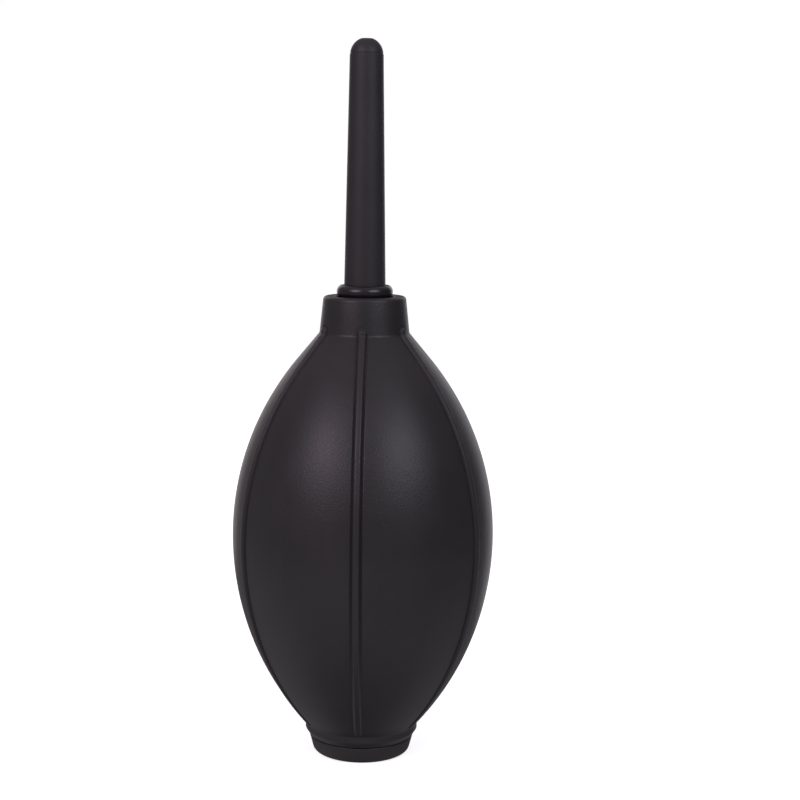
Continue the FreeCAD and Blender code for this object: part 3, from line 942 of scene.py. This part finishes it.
def tip_outline(shape, low):
    """Section of the nozzle's rounded end: ledge, dome, rounded outlet and bore."""
    top = cad_top("nozzle_tip")
    drop = math.sqrt(shape.dome_radius**2 - shape.outlet_radius**2)
    dome = top - drop
    ledge = nozzle_radius(shape, dome)
    below_ledge = 0.25 * MM
    outlet_length = 1.2 * MM
    rows = max(2, round((dome - low) / shape.row_step))
    levels = [low + (dome - below_ledge - low) * k / rows for k in range(rows + 1)]
    outer = [(nozzle_radius(shape, z), z) for z in levels]
    step = rounded([outer[-1] + (0,), (ledge, dome, 0.1 * MM),
                    (shape.dome_radius - 0.04 * MM, dome + 0.05 * MM, 0.08 * MM),
                    (shape.dome_radius - 0.03 * MM, dome + below_ledge, 0)], 4)
    lip_centre_r = shape.outlet_radius + shape.outlet_rounding
    last = math.degrees(math.acos(lip_centre_r / shape.dome_radius))
    crown = arc_points(0.0, dome, shape.dome_radius, 5, last, 30)
    lip_centre_z = crown[-1][1] - shape.outlet_rounding
    lip = arc_points(lip_centre_r, lip_centre_z, shape.outlet_rounding, 100, 180, 6)
    bore = [(shape.outlet_radius, lip_centre_z - outlet_length),
            (shape.bore_share * nozzle_radius(shape, low), low)]
    return [bore[-1]] + outer + step[1:] + crown + lip + bore


class BLOWER_OT_nozzle(bpy.types.Operator):
    """Build the soft nozzle as sleeves, one across each of its bending joints"""

    bl_idname = "blower.build_nozzle"
    bl_label = "Build Nozzle"

    def execute(self, context):
        shape = context.scene.blower_nozzle
        pivots = [joint["pos_m"][2] for joint in BEND_JOINTS]
        half = (pivots[1] - pivots[0]) / 2
        borders = [pivot - half for pivot in pivots] + [pivots[-1] + half]
        sections = [("nozzle_sleeve_foot", sleeve_outline(shape, cad_bottom("nozzle_foot"), borders[0]))]
        for number, (low, high) in enumerate(zip(borders, borders[1:]), 1):
            sections.append((f"nozzle_sleeve_{number}", sleeve_outline(shape, low, high)))
        sections.append(("nozzle_sleeve_tip", tip_outline(shape, borders[-1])))
        pieces = [turned(name, points, finish("nozzle_silicone"), shape.columns)
                  for name, points in sections]
        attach(pieces[0], "nozzle_root")
        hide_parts("nozzle_foot")
        for piece, joint, low, high in zip(pieces[1:], BEND_JOINTS, borders, borders[1:]):
            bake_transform(piece)
            if joint["child"] != "nozzle_tip":
                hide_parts(joint["child"])
        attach(pieces[-1], "nozzle_tip")
        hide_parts("nozzle_tip")
        return {"FINISHED"}


# ---------------------------------------------------------------- the base


def plug_outline(shape):
    """Section of the base plug: seat, guide pin, chamber, barbed spigot, flange, foot and intake."""
    seat_under, seat, pin_top, top = 4.2 * MM, 5.8 * MM, 9.2 * MM, cad_top("base_plug")
    intake, chamber, pin = 7.4 * MM, 6.7 * MM, 0.9 * MM
    spigot, barb, barb_end, barb_foot = 8.97 * MM, 9.5 * MM, 8.7 * MM, 9.7 * MM
    return rounded([
        (0, seat_under, 0), (intake, seat_under, 0.2 * MM), (intake, 0, 0.3 * MM),
        (shape.foot_radius, 0, shape.edge_rounding),
        (shape.flange_radius, shape.flange_top, 0.25 * MM), (spigot, shape.flange_top, 0),
        (spigot, barb_foot, 0), (barb, barb_foot, 0.1 * MM), (barb_end, top, 0.3 * MM),
        (chamber, top, 0.3 * MM), (chamber, seat, 0.2 * MM), (pin, seat, 0.15 * MM),
        (pin, pin_top, 0.25 * MM), (0, pin_top, 0)])


def grille_outline(low, high, plate):
    """Section of the intake grille: a thin plate in a raised rim."""
    rim, rim_width = 7.36 * MM, 0.86 * MM
    return rounded([
        (0, low, 0), (rim, low, 0.2 * MM), (rim, high, 0.15 * MM), (rim - rim_width, high, 0.15 * MM),
        (rim - rim_width, low + plate, 0.2 * MM), (0, low + plate, 0)])


class BLOWER_OT_plug(bpy.types.Operator):
    """Build the base plug with its air ports and the perforated grille under it"""

    bl_idname = "blower.build_plug"
    bl_label = "Build Base Plug"

    def execute(self, context):
        shape = context.scene.blower_plug
        drill_length, seat_middle, plate = 4 * MM, 5 * MM, 1.2 * MM
        plug = turned("base_plug_body", plug_outline(shape), finish("plug_plastic"), 128)
        baked(plug, trees()["ports"], {
            "Hole radius": shape.port_radius, "Depth": drill_length, "Middle height": seat_middle,
            "Port circle": shape.port_circle, "Material": finish("plug_plastic")})
        closed(plug)
        low, high = cad_bottom("intake_grille"), cad_top("intake_grille")
        grille = turned("intake_grille_plate", grille_outline(low, high, plate), finish("cage_plastic"))
        baked(grille, trees()["grille"], {
            "Hole radius": shape.hole_radius, "Depth": drill_length, "Middle height": low + plate / 2,
            "Inner ring": shape.hole_pitch, "Outer ring": 2 * shape.hole_pitch,
            "Material": finish("cage_plastic")})
        closed(grille)
        for piece, node, slot in ((plug, "base_plug", "plug_plastic"),
                                  (grille, "intake_grille", "cage_plastic")):
            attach(piece, "bulb")
            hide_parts(node)
        return {"FINISHED"}


class BLOWER_OT_inlet(bpy.types.Operator):
    """Give the valve disc, its cage and the dust filter their materials"""

    bl_idname = "blower.finish_inlet"
    bl_label = "Finish Inlet Parts"

    def execute(self, context):
        for row in frame["record"]["subparts"]:
            if row["node"] in ("inlet_valve_disc", "valve_cage", "dust_filter"):
                for place in frame["nodes"][row["node"]].material_slots:
                    place.material = finish(row["material_slot"])
        return {"FINISHED"}


# ---------------------------------------------------------------- the stage


SOFT_LIGHTS = (
    # name, place, width, height, power, colour
    ("left_front_soft", (-0.37, -0.47, 0.42), 0.40, 0.26, 1.44, (1.0, 0.83, 0.98)),
    ("right_front_soft", (0.416, -0.432, 0.42), 0.42, 0.26, 1.38, (0.90, 0.85, 1.0)),
    ("left_rear_panel", (-0.26, 0.58, 0.13), 0.28, 0.52, 0.49, (1.0, 0.91, 0.94)),
    ("right_rear_panel", (0.25, 0.585, 0.09), 0.28, 0.60, 0.49, (0.97, 0.96, 1.0)),
)
LIT_POINT = (0, 0, 0.06)


def area_light(name, place, width, height, power, light_colour):
    """A soft rectangular light that faces the bulb."""
    lamp = bpy.data.lights.new(name, "AREA")
    lamp.shape = "RECTANGLE"
    lamp.size, lamp.size_y = width, height
    lamp.energy = power
    lamp.color = light_colour
    made = bpy.data.objects.new(name, lamp)
    bpy.context.scene.collection.objects.link(made)
    made.visible_camera = False
    made.location = place
    made.rotation_euler = (Vector(LIT_POINT) - Vector(place)).to_track_quat("-Z", "Y").to_euler()


class BLOWER_OT_stage(bpy.types.Operator):
    """Build the pale floor, the soft lights and the camera"""

    bl_idname = "blower.build_stage"
    bl_label = "Build Stage"

    def execute(self, context):
        look = context.scene.blower_stage
        self.floor()
        for light in SOFT_LIGHTS:
            area_light(*light)
        context.scene.world = self.room()
        context.scene.view_settings.view_transform = "Standard"
        lens = bpy.data.cameras.new("Camera")
        lens.sensor_width = 36.0
        lens.lens = look.lens
        lens.shift_x = look.shift
        lens.clip_start, lens.clip_end = 0.01, 20.0
        camera = bpy.data.objects.new("Camera", lens)
        context.scene.collection.objects.link(camera)
        camera.location = (look.distance * math.sin(look.azimuth),
                           -look.distance * math.cos(look.azimuth), look.height)
        camera.rotation_euler = (Matrix.Rotation(look.azimuth, 3, "Z")
                                 @ Matrix.Rotation(math.pi / 2 - look.pitch, 3, "X")
                                 @ Matrix.Rotation(look.roll, 3, "Z")).to_euler()
        context.scene.camera = camera
        return {"FINISHED"}

    @staticmethod
    def room():
        """A dim room, darker far to the right, and paler overhead and where the near floor reflects."""
        left_glow, right_glow, ceiling = 0.20, 0.05, 0.31
        near_paper, underfoot, behind = 0.70, 0.88, -0.15
        world = bpy.data.worlds.new("Studio")
        world.use_nodes = True
        air = Graph(world.node_tree)
        background = world.node_tree.nodes["Background"]
        background.inputs["Color"].default_value = (1.0, 0.95, 0.99, 1.0)
        rightward, rearward, upward = air.parts(air.node("ShaderNodeTexCoord", {}, {}, "Object"))
        above = air.maths("MAXIMUM", upward, 0.0)
        below = air.maths("MAXIMUM", 0.0 - upward, 0.0)
        paper = (near_paper * below - underfoot * below ** 4) * air.ease(rearward, 0.1, 0.8, 1.0, behind)
        glow = air.ease(rightward, 0.45, 0.97, left_glow, right_glow) + ceiling * above ** 2 + paper
        world.node_tree.links.new(glow.socket, background.inputs["Strength"])
        return world

    @staticmethod
    def floor():
        """A plain round floor that curves up into a backdrop on all sides, and is clear from below."""
        reach, rise, bend, spokes, sunk = 2.0, 3.0, 0.8, 64, 0.02 * MM
        section = [(0.001, 0.0), *arc_points(reach - bend, bend, bend, -90, 0, 15), (reach, rise)]
        turns = [2 * math.pi * k / spokes for k in range(spokes)]
        points = [(r * math.cos(a), r * math.sin(a), z - sunk) for r, z in section for a in turns]
        corners = ((0, 0), (1, 0), (1, 1), (0, 1))
        faces = [[(row + down) * spokes + (k + along) % spokes for down, along in corners]
                 for row in range(len(section) - 1) for k in range(spokes)]
        mesh = bpy.data.meshes.new("floor")
        mesh.from_pydata(points, [], faces)
        mesh.shade_smooth()
        made = bpy.data.objects.new("floor", mesh)
        bpy.context.scene.collection.objects.link(made)
        shade = Shader("floor_paper")
        base = bpy.context.scene.blower_finish.floor
        shade.set(Base_Color=tint(base), Roughness=0.9, Emission_Color=(1, 1, 1, 1),
                  Emission_Strength=0.7)
        underneath = shade.node("ShaderNodeNewGeometry", {}, {}, "Backfacing")
        clear = shade.node("ShaderNodeBsdfTransparent", {}, {})
        mixed = shade.node("ShaderNodeMixShader", {}, {
            0: underneath, 1: Field(shade, shade.surface.outputs[0]), 2: clear})
        shade.tree.links.new(mixed.socket, shade.exit.inputs[0])
        mesh.materials.append(shade.material)
        # The bright paper lights the view and not the bulb, whose dark front faces a dim room.
        made.visible_diffuse = False
        made.visible_glossy = False
        made.visible_shadow = False


class BLOWER_PT_panel(bpy.types.Panel):
    """Lists the steps that build the blower"""

    bl_label = "Dust Blower Bulb"
    bl_idname = "BLOWER_PT_panel"
    bl_space_type = "VIEW_3D"
    bl_region_type = "UI"
    bl_category = "Blower"

    def draw(self, context):
        for step in STEPS:
            self.layout.operator(step.bl_idname)
        for name, group in SETTINGS.items():
            box = self.layout.box()
            box.label(text=group.__doc__)
            for key in group.__annotations__:
                box.prop(getattr(context.scene, name), key)


STEPS = (BLOWER_OT_bulb, BLOWER_OT_ferrule, BLOWER_OT_nozzle, BLOWER_OT_plug, BLOWER_OT_inlet,
         BLOWER_OT_stage)


def register():
    for group in (*SETTINGS.values(), *STEPS, BLOWER_PT_panel):
        bpy.utils.register_class(group)
    for name, group in SETTINGS.items():
        setattr(bpy.types.Scene, name, PointerProperty(type=group))


def unregister():
    for name in SETTINGS:
        delattr(bpy.types.Scene, name)
    for group in reversed((*SETTINGS.values(), *STEPS, BLOWER_PT_panel)):
        bpy.utils.unregister_class(group)


def main():
    register()
    bpy.ops.blower.build_bulb()
    bpy.ops.blower.build_ferrule()
    bpy.ops.blower.build_nozzle()
    bpy.ops.blower.build_plug()
    bpy.ops.blower.finish_inlet()
    bpy.ops.blower.build_stage()


if __name__ == "__main__":
    main()
